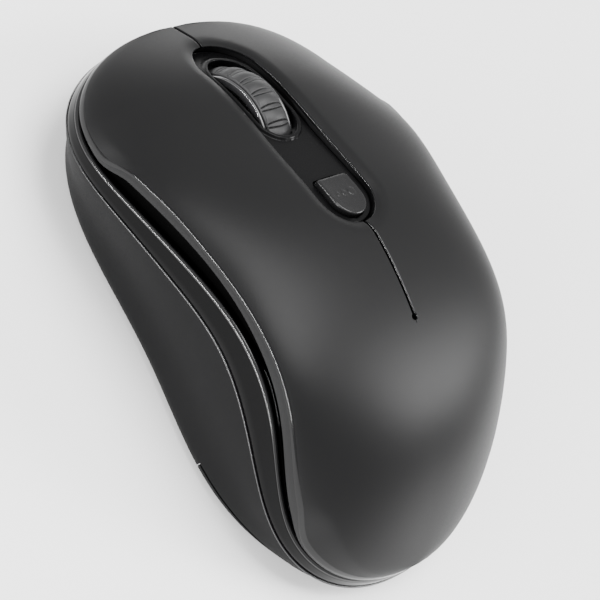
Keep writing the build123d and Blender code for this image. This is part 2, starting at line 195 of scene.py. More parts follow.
# joins grids of points into one closed mesh; each grid is (points, closeRows, closeColumns, capEnds) and may
# end with the columns that take the second finish
def makePiece(name, grids, material, body, smoothAngle=meshLimits["smoothAngle"], edgeMaterial=None):
    vertices, faces, finishes, start = [], [], [], 0
    for points, closeRows, closeColumns, capEnds, *edgeColumns in grids:
        rows, columns = points.shape[:2]
        index = start + np.arange(rows * columns).reshape(rows, columns)
        if closeRows:
            index = np.vstack([index, index[:1]])
        if closeColumns:
            index = np.hstack([index, index[:, :1]])
        quads = np.stack([index[:-1, :-1], index[:-1, 1:], index[1:, 1:], index[1:, :-1]], -1).reshape(-1, 4)
        faces += quads.tolist()
        inEdge = np.zeros(index.shape[1] - 1, int)
        for columnsHere in edgeColumns:
            inEdge[columnsHere] = 1
        finishes += np.tile(inEdge, index.shape[0] - 1).tolist()
        if capEnds:
            flat = start + np.arange(rows * columns).reshape(rows, columns)
            faces += [flat[0].tolist()[::-1], flat[-1].tolist()]
            finishes += [0, 0]
        vertices.append(points.reshape(-1, 3) * mm)
        start += rows * columns
    mesh = bpy.data.meshes.new(name)
    mesh.from_pydata(np.vstack(vertices).tolist(), [], faces)
    if edgeMaterial:
        mesh.materials.append(material)
        mesh.materials.append(edgeMaterial)
        mesh.polygons.foreach_set("material_index", finishes)
    return finishMesh(name, mesh, material, body, smoothAngle)


# merges doubles, drops faces with no area and turns every face outwards
def finishMesh(name, mesh, material, body, smoothAngle):
    work = bmesh.new()
    work.from_mesh(mesh)
    bmesh.ops.remove_doubles(work, verts=work.verts, dist=meshLimits["merge"])
    bmesh.ops.dissolve_degenerate(work, edges=work.edges, dist=meshLimits["flat"])
    bmesh.ops.recalc_face_normals(work, faces=work.faces)
    work.to_mesh(mesh)
    work.free()
    mesh.polygons.foreach_set("use_smooth", [True] * len(mesh.polygons))
    mesh.set_sharp_from_angle(angle=math.radians(smoothAngle))
    piece = bpy.data.objects.new(name, mesh)
    bpy.context.collection.objects.link(piece)
    if not mesh.materials:
        mesh.materials.append(material)
    if body:
        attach(piece, body)
    return piece


# part of an even spread from 0 to 1 and the rest closer together at both ends
def easedShare(t, even):
    return even * t + (1 - even) * (0.5 - 0.5 * np.cos(np.pi * t))


rowEase = {"least": 6, "extra": 5, "even": 0.25}


# spreads rows between stops, closer together near each stop
def easedRows(stops, spacing):
    rows = []
    for a, b in zip(stops[:-1], stops[1:]):
        count = max(rowEase["least"], int(abs(b - a) / spacing) + rowEase["extra"])
        rows.append(a + (b - a) * easedShare(np.linspace(0, 1, count), rowEase["even"])[:-1])
    return np.append(np.concatenate(rows), stops[-1])


# materials

textures = {"cloudDetail": 4.0, "grainDetail": 2.0, "grainRoughness": 0.65, "detail": 3.0, "roughness": 0.5,
            "darkest": 0.3, "lightest": 0.7, "glossSpread": 0.05, "coatRough": 0.05}


def newMaterial(name):
    material = bpy.data.materials.new(name)
    material.use_nodes = True
    nodes = material.node_tree.nodes
    return material, nodes, material.node_tree.links, nodes["Principled BSDF"]


def noiseNode(nodes, links, coords, scale, detail=textures["detail"], roughness=textures["roughness"]):
    node = nodes.new("ShaderNodeTexNoise")
    node.inputs["Scale"].default_value = scale
    node.inputs["Detail"].default_value = detail
    node.inputs["Roughness"].default_value = roughness
    links.new(coords.outputs["Object"], node.inputs["Vector"])
    return node


# maps a texture's grey to a range of values
def rangeNode(nodes, links, source, low, high):
    node = nodes.new("ShaderNodeMapRange")
    node.inputs["From Min"].default_value = textures["darkest"]
    node.inputs["From Max"].default_value = textures["lightest"]
    node.inputs["To Min"].default_value = low
    node.inputs["To Max"].default_value = high
    links.new(source, node.inputs["Value"])
    return node.outputs["Result"]


# two tones of one colour, mixed by a texture
def toneNode(nodes, links, source, dark, light):
    node = nodes.new("ShaderNodeMix")
    node.data_type = "RGBA"
    node.inputs["A"].default_value = (*dark, 1)
    node.inputs["B"].default_value = (*light, 1)
    links.new(source, node.inputs["Factor"])
    return node.outputs["Result"]


# moulded plastic: fine spark texture in the bump, broad cloudiness in tone and gloss
def mouldedPlastic(name, look):
    material, nodes, links, shader = newMaterial(name)
    coords = nodes.new("ShaderNodeTexCoord")
    t = textures
    cloud = noiseNode(nodes, links, coords, look["cloudScale"], t["cloudDetail"])
    grain = noiseNode(nodes, links, coords, look["grainScale"], t["grainDetail"], t["grainRoughness"])
    low = [c * (1 - look["toneSpread"]) for c in look["colour"]]
    high = [c * (1 + look["toneSpread"]) for c in look["colour"]]
    links.new(toneNode(nodes, links, cloud.outputs["Fac"], low, high), shader.inputs["Base Color"])
    spread = t["glossSpread"]
    rough = rangeNode(nodes, links, grain.outputs["Fac"], look["rough"] - spread, look["rough"] + spread)
    links.new(rough, shader.inputs["Roughness"])
    bump = nodes.new("ShaderNodeBump")
    bump.inputs["Strength"].default_value = look["grainStrength"]
    bump.inputs["Distance"].default_value = look["grainDepth"] * mm
    links.new(grain.outputs["Fac"], bump.inputs["Height"])
    links.new(bump.outputs["Normal"], shader.inputs["Normal"])
    shader.inputs["Specular IOR Level"].default_value = look.get("specular", 0.5)
    shader.inputs["Metallic"].default_value = look.get("metallic", 0.0)
    shader.inputs["Coat Weight"].default_value = look.get("coat", 0.0)
    shader.inputs["Coat Roughness"].default_value = t["coatRough"]
    return material


looks = {
    "softShell": {"colour": (0.0042, 0.0042, 0.0044), "toneSpread": 0.06, "cloudScale": 60, "grainScale": 5200,
                  "grainStrength": 0.35, "grainDepth": 0.03, "rough": 0.41, "specular": 0.15},
    "shellEdge": {"colour": (0.003, 0.003, 0.0032), "toneSpread": 0.06, "cloudScale": 60, "grainScale": 5200,
                  "grainStrength": 0.1, "grainDepth": 0.01, "rough": 0.15, "specular": 0.26},
    # paintedHighlightLine: much lighter than the black plastics around it, painted highlight for the crease line
    "paintedHighlightLine": {"colour": (0.02, 0.02, 0.021), "toneSpread": 0.2, "cloudScale": 900, "grainScale": 3500,
                     "grainStrength": 0.15, "grainDepth": 0.01, "rough": 0.24, "specular": 0.6},
    # bandPaintedHighlight: several times lighter than the gloss band, painted highlight along its round top edge
    "bandPaintedHighlight": {"colour": (0.006, 0.006, 0.0063), "toneSpread": 0.1, "cloudScale": 200, "grainScale": 2500,
                 "grainStrength": 0.05, "grainDepth": 0.01, "rough": 0.16, "specular": 0.5},
    "matteBase": {"colour": (0.0026, 0.0026, 0.0028), "toneSpread": 0.08, "cloudScale": 70, "grainScale": 4200,
                  "grainStrength": 0.45, "grainDepth": 0.04, "rough": 0.5, "specular": 0.09},
    "glossBand": {"colour": (0.0008, 0.0008, 0.0009), "toneSpread": 0.05, "cloudScale": 40, "grainScale": 900,
                  "grainStrength": 0.04, "grainDepth": 0.01, "rough": 0.12, "specular": 0.07},
    # paintedShadeBlack: darkest and least shiny of the blacks, painted shade for the groove the frame sits
    # behind
    "paintedShadeBlack": {"colour": (0.0006, 0.0006, 0.0006), "toneSpread": 0.3, "cloudScale": 60, "grainScale": 3500,
                  "grainStrength": 0.3, "grainDepth": 0.03, "rough": 0.7, "specular": 0.02},
    "deckPlastic": {"colour": (0.0022, 0.0022, 0.0024), "toneSpread": 0.08, "cloudScale": 90, "grainScale": 4500,
                    "grainStrength": 0.35, "grainDepth": 0.03, "rough": 0.3, "specular": 0.1},
    "keyPlastic": {"colour": (0.006, 0.006, 0.0063), "toneSpread": 0.06, "cloudScale": 120, "grainScale": 4800,
                   "grainStrength": 0.3, "grainDepth": 0.03, "rough": 0.28, "specular": 0.3},
    "wheelRubber": {"colour": (0.017, 0.017, 0.0175), "toneSpread": 0.12, "cloudScale": 260, "grainScale": 3600,
                    "grainStrength": 0.5, "grainDepth": 0.05, "rough": 0.5, "specular": 0.3},
    "hubGloss": {"colour": (0.02, 0.02, 0.021), "toneSpread": 0.05, "cloudScale": 60, "grainScale": 1200,
                 "grainStrength": 0.05, "grainDepth": 0.01, "rough": 0.14, "coat": 0.6},
    "blackNylon": {"colour": (0.012, 0.012, 0.012), "toneSpread": 0.1, "cloudScale": 120, "grainScale": 3000,
                   "grainStrength": 0.4, "grainDepth": 0.04, "rough": 0.5},
    "glidePad": {"colour": (0.012, 0.0125, 0.014), "toneSpread": 0.1, "cloudScale": 180, "grainScale": 1500,
                 "grainStrength": 0.12, "grainDepth": 0.02, "rough": 0.25},
    "foilLabel": {"colour": (0.36, 0.365, 0.37), "toneSpread": 0.05, "cloudScale": 200, "grainScale": 2500,
                  "grainStrength": 0.1, "grainDepth": 0.01, "rough": 0.38, "metallic": 0.3},
    "cellWrap": {"colour": (0.03, 0.10, 0.24), "toneSpread": 0.06, "cloudScale": 80, "grainScale": 900,
                 "grainStrength": 0.05, "grainDepth": 0.01, "rough": 0.22, "coat": 0.4},
    "springSteel": {"colour": (0.60, 0.60, 0.61), "toneSpread": 0.08, "cloudScale": 300, "grainScale": 2500,
                    "grainStrength": 0.2, "grainDepth": 0.02, "rough": 0.28, "metallic": 1.0},
    "plugSteel": {"colour": (0.66, 0.66, 0.65), "toneSpread": 0.05, "cloudScale": 220, "grainScale": 2600,
                  "grainStrength": 0.12, "grainDepth": 0.01, "rough": 0.22, "metallic": 1.0},
    "chipEpoxy": {"colour": (0.013, 0.013, 0.014), "toneSpread": 0.15, "cloudScale": 400, "grainScale": 5200,
                  "grainStrength": 0.6, "grainDepth": 0.05, "rough": 0.6},
    "switchCase": {"colour": (0.018, 0.018, 0.019), "toneSpread": 0.1, "cloudScale": 260, "grainScale": 3800,
                   "grainStrength": 0.35, "grainDepth": 0.03, "rough": 0.45},
    "plungerRed": {"colour": (0.45, 0.06, 0.03), "toneSpread": 0.08, "cloudScale": 300, "grainScale": 3000,
                   "grainStrength": 0.2, "grainDepth": 0.02, "rough": 0.35},
    "lampResin": {"colour": (0.5, 0.03, 0.02), "toneSpread": 0.05, "cloudScale": 300, "grainScale": 1500,
                  "grainStrength": 0.05, "grainDepth": 0.01, "rough": 0.1},
}
finish = {name: mouldedPlastic(name, look) for name, look in looks.items()}


board = {"scale": 260, "lineWidth": 0.03, "mask": (0.006, 0.06, 0.022), "maskLight": (0.008, 0.075, 0.028),
         "track": (0.03, 0.16, 0.05), "cloudScale": 900, "rough": (0.22, 0.34),
         "bump": 0.3, "bumpDepth": 0.03}


# circuit board: solder mask with copper tracks showing through as a lighter grid of lines
def boardLaminate():
    material, nodes, links, shader = newMaterial("boardLaminate")
    coords = nodes.new("ShaderNodeTexCoord")
    tracks = nodes.new("ShaderNodeTexBrick")
    tracks.inputs["Scale"].default_value = board["scale"]
    tracks.inputs["Mortar Size"].default_value = board["lineWidth"]
    for socket, colour in (("Color1", "mask"), ("Color2", "maskLight"), ("Mortar", "track")):
        tracks.inputs[socket].default_value = (*board[colour], 1)
    links.new(coords.outputs["Object"], tracks.inputs["Vector"])
    links.new(tracks.outputs["Color"], shader.inputs["Base Color"])
    cloud = noiseNode(nodes, links, coords, board["cloudScale"])
    links.new(rangeNode(nodes, links, cloud.outputs["Fac"], *board["rough"]), shader.inputs["Roughness"])
    bump = nodes.new("ShaderNodeBump")
    bump.inputs["Strength"].default_value = board["bump"]
    bump.inputs["Distance"].default_value = board["bumpDepth"] * mm
    links.new(tracks.outputs["Fac"], bump.inputs["Height"])
    links.new(bump.outputs["Normal"], shader.inputs["Normal"])
    return material


lens = {"cloudScale": 500, "dark": (0.75, 0.78, 0.8), "light": (0.85, 0.87, 0.88), "rough": (0.04, 0.1),
        "clear": 0.9, "bending": 1.49}


# clear moulded lens with a faint clouding
def lensResin():
    material, nodes, links, shader = newMaterial("lensResin")
    coords = nodes.new("ShaderNodeTexCoord")
    cloud = noiseNode(nodes, links, coords, lens["cloudScale"])
    tone = toneNode(nodes, links, cloud.outputs["Fac"], lens["dark"], lens["light"])
    links.new(tone, shader.inputs["Base Color"])
    links.new(rangeNode(nodes, links, cloud.outputs["Fac"], *lens["rough"]), shader.inputs["Roughness"])
    shader.inputs["Transmission Weight"].default_value = lens["clear"]
    shader.inputs["IOR"].default_value = lens["bending"]
    return material


finish["boardLaminate"] = boardLaminate()
finish["lensResin"] = lensResin()
nodeFinish = {
    "centre_deck": "deckPlastic", "resolution_key": "keyPlastic", "key_board": "boardLaminate",
    "key_switch": "switchCase", "key_plunger": "plungerRed", "wheel_axle": "springSteel",
    "wheel_hub": "hubGloss", "wheel_tyre": "wheelRubber", "encoder_case": "switchCase",
    "wheel_carrier": "blackNylon", "carrier_pin": "springSteel", "left_pivot_bracket": "blackNylon",
    "right_pivot_bracket": "blackNylon", "carrier_spring": "springSteel", "middle_switch": "switchCase",
    "middle_plunger": "plungerRed", "main_board": "boardLaminate", "sensor_chip": "chipEpoxy",
    "sensor_lens": "lensResin", "sensor_lamp": "lampResin", "controller_chip": "chipEpoxy",
    "crystal": "springSteel", "capacitors": "chipEpoxy", "battery": "cellWrap", "battery_spring": "springSteel",
    "battery_contact": "springSteel", "battery_door": "matteBase", "power_switch": "springSteel",
    "power_slider": "keyPlastic", "receiver_cap": "blackNylon", "receiver_shell": "plugSteel",
    "receiver_tongue": "chipEpoxy", "front_foot": "glidePad", "side_feet": "glidePad", "rear_foot": "glidePad",
    "sensor_ring": "hubGloss", "label": "foilLabel", "left_switch": "switchCase", "right_switch": "switchCase",
    "left_plunger": "plungerRed", "right_plunger": "plungerRed", "cover_screws": "springSteel",
    "board_screws": "springSteel", "base_shell": "matteBase", "trim_band": "glossBand",
    "inner_frame": "paintedShadeBlack", "palm_cover": "softShell", "left_button": "softShell",
    "right_button": "softShell",
}
for nodeName, finishName in nodeFinish.items():
    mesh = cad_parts[nodeName].data
    mesh.materials.clear()
    mesh.materials.append(finish[finishName])
print("finishes made")


# cover: palm and the two buttons

cover = {
    "wall": 1.8,
    "seamY": -16.0,  # where the buttons' meshes meet the palm's
    "flexEndY": 8.0,
    "recessHalf": 6.5, "recessRear": 3.6, "recessFront": 46.1,
    "bevelWidth": 2.5, "bevelDepth": 0.75, "bevelFade": 6.0,
    "rimRadius": 0.22, "rimShare": 0.2, "rimTurns": [0, 30, 60],
    "slotHalf": 0.25, "slotEndY": -14.9, "slotEndRadius": 0.6, "slotEndShare": 0.9,
    "lipRadius": 0.38, "lipShare": 0.45, "lipSpare": 0.35, "lipWidthShare": 0.3, "lipPoints": 7,
    "lipDraft": 0.15, "footRound": 0.2, "footSteps": [0, 0.3, 1.0],
    "noseY": 52.42, "noseRow": 51.0, "cornerRows": [24, 28.5, 33], "tailRows": [-52.45, -50.5, -44, -30],
    "rowSpacing": 1.0, "seamRows": [0.03, 0.12],  # rows just off the seam, so both meshes start alike
    "wallShare": 0.35, "wallRows": [0.35, 0.75], "innerLift": 0.05,
    "buttonColumns": 46, "buttonInner": 16, "palmColumns": 93, "palmInner": 31, "even": 0.45,
}


# soft hollow round the recess: the drop grows with the square of the nearness to its rim
def coverHeight(x, y):
    away = racetrackDistance(x, y, cover["recessHalf"], cover["recessRear"], cover["recessFront"])
    near = np.clip(1 - away / cover["bevelWidth"], 0, 1)
    nose = np.clip((halfLength - y) / cover["bevelFade"], 0, 1)
    return domeHeight(x, y) - cover["bevelDepth"] * near ** 2 * nose


# inner boundary of a button: slot, then round the recess, then slot again
def buttonInside(y):
    recess = racetrackWidth(y, cover["recessHalf"], cover["recessRear"], cover["recessFront"])
    recess = np.where((y > cover["recessRear"]) & (y < cover["recessFront"]), recess, 0)
    hole = np.sqrt(np.maximum(0, cover["slotEndRadius"] ** 2 - (y - cover["slotEndY"]) ** 2))
    slot = np.where(y > cover["slotEndY"], cover["slotHalf"], 0)
    return np.maximum(np.maximum(recess, hole), slot)


# outer flank of a section: dome to lip edge, lip face, rounded foot; returns x and z columns
def flank(y, width, wallHere):
    c = cover
    t = np.linspace(0, 1, c["lipPoints"])[None, :]
    edge, foot = (plainEdge(y) + lip(y))[:, None], coverEdge(y)[:, None]
    radius = np.minimum(c["lipRadius"], c["lipShare"] * (edge - foot + c["lipSpare"]))
    radius = np.minimum(radius, c["lipWidthShare"] * width[:, None])
    startX = width[:, None] - radius
    startZ = coverHeight(startX, y[:, None])
    lowZ = edge - radius
    cornerX = (1 - t) ** 2 * startX + 2 * t * (1 - t) * width[:, None] + t ** 2 * width[:, None]
    cornerZ = (1 - t) ** 2 * startZ + 2 * t * (1 - t) * edge + t ** 2 * lowZ
    steps = c["footRound"] * np.array(c["footSteps"])[None, :]
    footX = width[:, None] - c["lipDraft"] - steps
    footZ = np.minimum(foot + steps[:, ::-1], lowZ)
    inX = (width - wallHere)[:, None]
    return startX[:, 0], np.hstack([cornerX, footX, inX]), np.hstack([cornerZ, footZ, foot])


# rows between the stops, with the rows just off the seam added on the given side
def coverRows(stops, side):
    nearSeam = cover["seamY"] + side * np.array(cover["seamRows"])
    rows = np.concatenate([easedRows(stops, cover["rowSpacing"]), nearSeam])
    return np.unique(np.round(rows, 4))


# height of the cover's inner face
def innerHeight(x, y, wallHere):
    under = coverHeight(x, y[:, None]) - wallHere[:, None]
    return np.maximum(under, coverEdge(y)[:, None] + cover["innerLift"])


# closed section of a button for each y, from the recess wall over the dome to the lip and back inside; also
# the columns of its edges
def buttonPoints(side):
    c = cover
    tip, slotEnd, hole = c["recessHalf"], c["slotEndY"], c["slotEndRadius"]
    stops = [c["seamY"], slotEnd - hole, slotEnd, slotEnd + c["slotEndShare"] * hole, c["recessRear"],
             c["recessRear"] + tip, *c["cornerRows"], c["recessFront"] - tip, c["recessFront"],
             c["noseRow"], c["noseY"]]
    y = coverRows(stops, 1)
    inside, width = buttonInside(y), halfWidth(y)
    wallHere = np.minimum(c["wall"], c["wallShare"] * (width - inside))
    rim = np.minimum(c["rimRadius"], c["rimShare"] * (width - inside))
    endX, flankX, flankZ = flank(y, width, wallHere)
    t = np.linspace(0, 1, c["buttonColumns"])[None, :]
    ease = c["even"] * t + (1 - c["even"]) * smooth(t)
    firstX = (inside + rim)[:, None]
    domeX = firstX + (endX[:, None] - firstX) * ease[:, :-1]
    domeZ = coverHeight(domeX, y[:, None])
    rimZ = domeZ[:, :1]
    angle = np.radians(c["rimTurns"])[None, :]
    rimX = inside[:, None] + rim[:, None] * (1 - np.cos(angle))
    rimHigh = rimZ - rim[:, None] * (1 - np.sin(angle))
    innerT = np.linspace(1, 0, c["buttonInner"])[None, :]
    innerX = inside[:, None] + (width - wallHere - inside)[:, None] * innerT
    innerZ = innerHeight(innerX, y, wallHere)
    wallX = np.repeat(inside[:, None], len(c["wallRows"]), 1)
    low = innerZ[:, -1:]
    wallZ = low + (rimHigh[:, :1] - low) * np.array(c["wallRows"])[None, :]
    x = np.hstack([wallX, rimX, domeX, flankX, innerX])
    z = np.hstack([wallZ, rimHigh, domeZ, flankZ, innerZ])
    yy = np.repeat(y[:, None], x.shape[1], 1)
    rimEnd = wallX.shape[1] + rimX.shape[1]
    lipColumn = rimEnd + domeX.shape[1]
    edges = list(range(1, rimEnd)) + list(range(lipColumn, lipColumn + c["lipPoints"] - 1))
    return np.stack([side * x, yy, z], -1), edges


# closed section of the palm for each y, lip to lip over the crown; also the columns of its edges
def palmPoints():
    c = cover
    y = coverRows([*c["tailRows"], c["seamY"]], -1)
    width = halfWidth(y)
    wallHere = np.minimum(c["wall"], c["wallShare"] * width)
    endX, flankX, flankZ = flank(y, width, wallHere)
    t = np.linspace(-1, 1, c["palmColumns"])[None, 1:-1]
    ease = np.sin(t * np.pi / 2) * c["even"] + t * (1 - c["even"])
    domeX = endX[:, None] * ease
    domeZ = coverHeight(domeX, y[:, None])
    innerT = np.linspace(1, -1, c["palmInner"])[None, 1:-1]
    innerX = (width - wallHere)[:, None] * innerT
    innerZ = innerHeight(innerX, y, wallHere)
    x = np.hstack([-flankX[:, ::-1], domeX, flankX, innerX])
    z = np.hstack([flankZ[:, ::-1], domeZ, flankZ, innerZ])
    yy = np.repeat(y[:, None], x.shape[1], 1)
    count = c["lipPoints"]
    first, last = flankX.shape[1] - count, flankX.shape[1] + domeX.shape[1]
    edges = list(range(first, first + count - 1)) + list(range(last, last + count - 1))
    return np.stack([x, yy, z], -1), edges


points, edges = palmPoints()
palm = makePiece("palmCover", [(points, False, True, True, edges)], finish["softShell"], "housing",
                 edgeMaterial=finish["shellEdge"])
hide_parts("palm_cover")
for side, sideName in ((-1, "left"), (1, "right")):
    points, edges = buttonPoints(side)
    button = makePiece(sideName + "Button", [(points, False, True, True, edges)], finish["softShell"], None,
                       edgeMaterial=finish["shellEdge"])
    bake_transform(button)
    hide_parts(sideName + "_button")
print("cover made")


# rings round the body: base wall, gloss band and the frame behind the groove

# ring angle runs from the tail up the right side to the nose and back down the left
def ringAngles(count):
    return np.linspace(0, 2 * np.pi, count, endpoint=False)


# a point of the flank at a ring angle, a height, and a distance in from the plan outline at that height
def ringPoints(angle, z, inset):
    u = -np.cos(angle)[:, None]
    y = halfLength * u
    low = bodyShape["floor"]
    swell = np.clip((z - low) / (crease(y) - low), 0, 1) ** bodyShape["flarePower"]
    wide = (baseWidth(y) + (topWidth(y) - baseWidth(y)) * swell - inset) * rounding(u)
    long = bodyShape["baseHalfLength"] + (halfLength - bodyShape["baseHalfLength"]) * swell - inset
    return np.stack([wide * np.sign(np.sin(angle))[:, None], long * u, z + 0 * wide], -1)


trim = {
    "count": 480,
    "foot": [(0.35, 0.0), (0.12, 0.02), (0.0, 0.22)],  # distance in, and height above the crease
    "sideShares": [0.35, 0.6],
    "round": 0.9, "roundShare": 0.35, "roundSpare": 1.05, "roundTurns": [0, 15, 30, 45, 60, 75, 90],
    "brightFrom": 1, "brightColumns": 4,  # columns of the round edge that take a lighter colour, a painted highlight along the band's top edge
    "rearFrom": -2.0, "rearLength": 14.0,
    "ledgeSpare": 0.05, "rearLedge": 0.65, "ledgeLift": 0.01, "ledgeRound": (0.05, 0.15), "ledgeEdge": 0.08,
    "step": 0.35, "drop": 1.3, "wall": 1.6, "rearWall": 0.2,
}


# closed section of the band for each ring angle, from the crease up over the round edge and down inside; also
# the columns of its edge, which take the painted highlight colour
def trimPoints():
    s = trim
    angle = ringAngles(s["count"])
    y = -halfLength * np.cos(angle)[:, None]
    low, high = crease(y), bandTop(y)
    tall = high - low
    radius = np.minimum(s["round"], s["roundShare"] * tall)
    turn = np.radians(s["roundTurns"])[None, :]
    rear = smooth((s["rearFrom"] - y) / s["rearLength"])
    ledge = radius + s["ledgeSpare"] + s["rearLedge"] * rear
    beyond = high + s["step"] * rear * grooveOpen(y) - s["drop"] * (1 - rear * grooveOpen(y))
    back = s["wall"] + s["rearWall"] * rear
    inset = [away + 0 * y for away, _ in s["foot"]] + [0 * y] * (len(s["sideShares"]) + 1)
    z = [low + rise for _, rise in s["foot"]] + [low + share * tall for share in s["sideShares"]]
    z.append(high - radius * s["roundSpare"])
    first = len(z) + s["brightFrom"]
    inset += [radius * (1 - np.cos(turn)), ledge, *[ledge + more for more in s["ledgeRound"]], back, back]
    z += [high - radius + radius * np.sin(turn), high + s["ledgeLift"], beyond - s["ledgeEdge"]]
    z += [beyond, beyond, low]
    return ringPoints(angle, np.hstack(z), np.hstack(inset)), list(range(first, first + s["brightColumns"]))


points, edges = trimPoints()
bandPiece = makePiece("trimBand", [(points, True, True, False, edges)], finish["glossBand"], "housing",
                      50, edgeMaterial=finish["bandPaintedHighlight"])
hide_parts("trim_band")


bead = {"count": 480, "radius": 0.18, "least": 0.05, "fadeFrom": 40.0, "fadeLength": 18.0,
        "inset": -0.04, "turn": 45}


# thin raised line along the crease, fading out towards the nose; its finish is far lighter than the band and
# base beside it, a painted highlight line added to the light its glossy round catches
def beadPoints():
    angle = ringAngles(bead["count"])
    y = -halfLength * np.cos(angle)[:, None]
    grown = smooth((bead["fadeFrom"] - y) / bead["fadeLength"])
    size = bead["least"] + (bead["radius"] - bead["least"]) * grown
    around = np.radians(np.arange(0, 360, bead["turn"]))[None, :]
    return ringPoints(angle, crease(y) + size * np.sin(around), bead["inset"] - size * np.cos(around))


makePiece("creaseBead", [(beadPoints(), True, True, False)], finish["paintedHighlightLine"], "housing", 80)

backing = {"count": 240, "gap": 0.15, "sink": 0.013, "sinkFrom": -15.0, "overlap": 1.5,
           "bevel": 0.3, "insets": [2.4, 2.4, 2.6, 3.6, 3.6]}


# frame behind the groove, from below the crease to just under the cover's edge; a real part, coloured darker and
# duller than the other black plastics as painted shade for the shadowed groove
def innerFramePoints():
    s = backing
    angle = ringAngles(s["count"])
    y = -halfLength * np.cos(angle)[:, None]
    top = coverEdge(y) - s["gap"] - s["sink"] * np.maximum(0, y - s["sinkFrom"])
    low = crease(y) - s["overlap"]
    z = np.hstack([low, top - s["bevel"], top, top, low])
    return ringPoints(angle, z, np.array(s["insets"])[None, :] + 0 * z)


framePiece = makePiece("innerFrame", [(innerFramePoints(), True, True, False)], finish["paintedShadeBlack"], "housing")
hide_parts("inner_frame")
print("rings made")


# deck in the recess, with its raised window rim

deck = {
    "drop": 1.5, "slope": 0.02, "gap": 0.3, "thick": 1.6,
    "windowHalf": 4.6, "windowRear": 23.6, "windowFront": 42.6,
    "rimRise": 0.6, "rimFlat": 0.55, "rimFoot": 1.2, "rimRound": 0.3,
    "keyHalf": 3.8, "keyRear": 5.1, "keyFront": 13.4, "keyCorner": 0.8, "keyGap": 0.25,
    "edgeRound": 0.3, "keyEdgeRound": 0.2,
    "endStep": 0.02, "rearRow": 1.2, "frontRow": 1.0, "keyRearRow": 3.0, "keyFrontRow": 1.5, "middleRow": 18.0,
    "windowRows": [-1.3, -0.3, 0, 1, 4],  # rows on each end of the window, from outside it inwards
    "rowSpacing": 0.35, "columns": 44, "even": 0.4,
}


def deckTop(y):
    return crown(y) - deck["drop"] - deck["slope"] * y


# distance inwards from the edge of the key's outline, grown by a margin; negative outside
def keyDepth(x, y, grow=0.0):
    half, centre = deck["keyHalf"] + grow, deck["keyRear"] + deck["keyHalf"]
    corner = deck["keyCorner"] + grow
    across, along = np.abs(x) - (half - corner), y - (deck["keyFront"] + grow - corner)
    beyond = np.hypot(np.maximum(across, 0), np.maximum(along, 0))
    square = corner - beyond - np.minimum(np.maximum(across, along), 0)
    return np.where(y < centre, half - np.hypot(x, y - centre), square)


# half width of the key's outline at y
def keyWidth(y, grow=0.0):
    half, centre = deck["keyHalf"] + grow, deck["keyRear"] + deck["keyHalf"]
    corner, front = deck["keyCorner"] + grow, deck["keyFront"] + grow
    rear = np.sqrt(np.maximum(0, half ** 2 - np.minimum(0, y - centre) ** 2))
    past = np.clip(y - (front - corner), 0, corner)
    rounded = rear - corner + np.sqrt(np.maximum(0, corner ** 2 - past ** 2))
    return np.where((y > front) | (y < deck["keyRear"] - grow), 0, np.where(y > centre, rounded, rear))


# quarter-round edge: how far the surface falls at a distance in from its edge
def edgeFall(away, radius):
    near = np.clip(radius - away, 0, radius)
    return radius - np.sqrt(radius ** 2 - near ** 2)


# closed section of one half of the deck for each y, from the openings out to the recess wall
def deckPoints(side):
    d, c = deck, cover
    outerHalf = c["recessHalf"] - d["gap"]
    rear, front = c["recessRear"] + d["gap"], c["recessFront"] - d["gap"]
    stops = [rear + d["endStep"], rear + d["rearRow"], d["keyRear"] + d["keyRearRow"],
             d["keyFront"] - d["keyFrontRow"], d["keyFront"] + d["keyGap"], d["middleRow"],
             *[d["windowRear"] + row for row in d["windowRows"]],
             *[d["windowFront"] - row for row in d["windowRows"][::-1]],
             front - d["frontRow"], front - d["endStep"]]
    y = easedRows(stops, d["rowSpacing"])
    outer = racetrackWidth(y, outerHalf, rear, front)
    window = racetrackWidth(y, d["windowHalf"], d["windowRear"], d["windowFront"])
    window = np.where((y > d["windowRear"]) & (y < d["windowFront"]), window, 0)
    inner = np.maximum(window, keyWidth(y, d["keyGap"]))
    share = easedShare(np.linspace(0, 1, d["columns"])[None, :], d["even"])
    x = inner[:, None] + (outer - inner)[:, None] * share
    yy = np.repeat(y[:, None], x.shape[1], 1)
    fromWindow = racetrackDistance(x, yy, d["windowHalf"], d["windowRear"], d["windowFront"])
    fromEdge = -racetrackDistance(x, yy, outerHalf, rear, front)
    rim = d["rimRise"] * smooth((d["rimFoot"] - fromWindow) / (d["rimFoot"] - d["rimFlat"]))
    z = deckTop(yy) + rim - edgeFall(np.maximum(fromWindow, 0), d["rimRound"])
    fromKey = np.maximum(-keyDepth(x, yy, d["keyGap"]), 0)
    z -= edgeFall(np.maximum(fromEdge, 0), d["edgeRound"]) + edgeFall(fromKey, d["keyEdgeRound"])
    low = deckTop(y)[:, None] - d["thick"]
    x = np.hstack([x[:, :1], x, x[:, -1:]])
    z = np.hstack([low, z, low])
    return np.stack([side * x, np.repeat(y[:, None], x.shape[1], 1), z], -1)


# drops the faces where the two halves of a mirrored piece touch, so they join into one solid
def joinHalves(piece, width):
    work = bmesh.new()
    work.from_mesh(piece.data)
    inside = [f for f in work.faces if all(abs(v.co.x) < width for v in f.verts)]
    bmesh.ops.delete(work, geom=inside, context="FACES")
    bmesh.ops.recalc_face_normals(work, faces=work.faces)
    work.to_mesh(piece.data)
    work.free()


deckGrids = [(deckPoints(side), False, True, True) for side in (-1, 1)]
deckPiece = makePiece("deckPlate", deckGrids, finish["deckPlastic"], "housing")
joinHalves(deckPiece, meshLimits["middle"])
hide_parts("centre_deck")


# key: flat front, round rear, crowned, with a raised three-dot mark

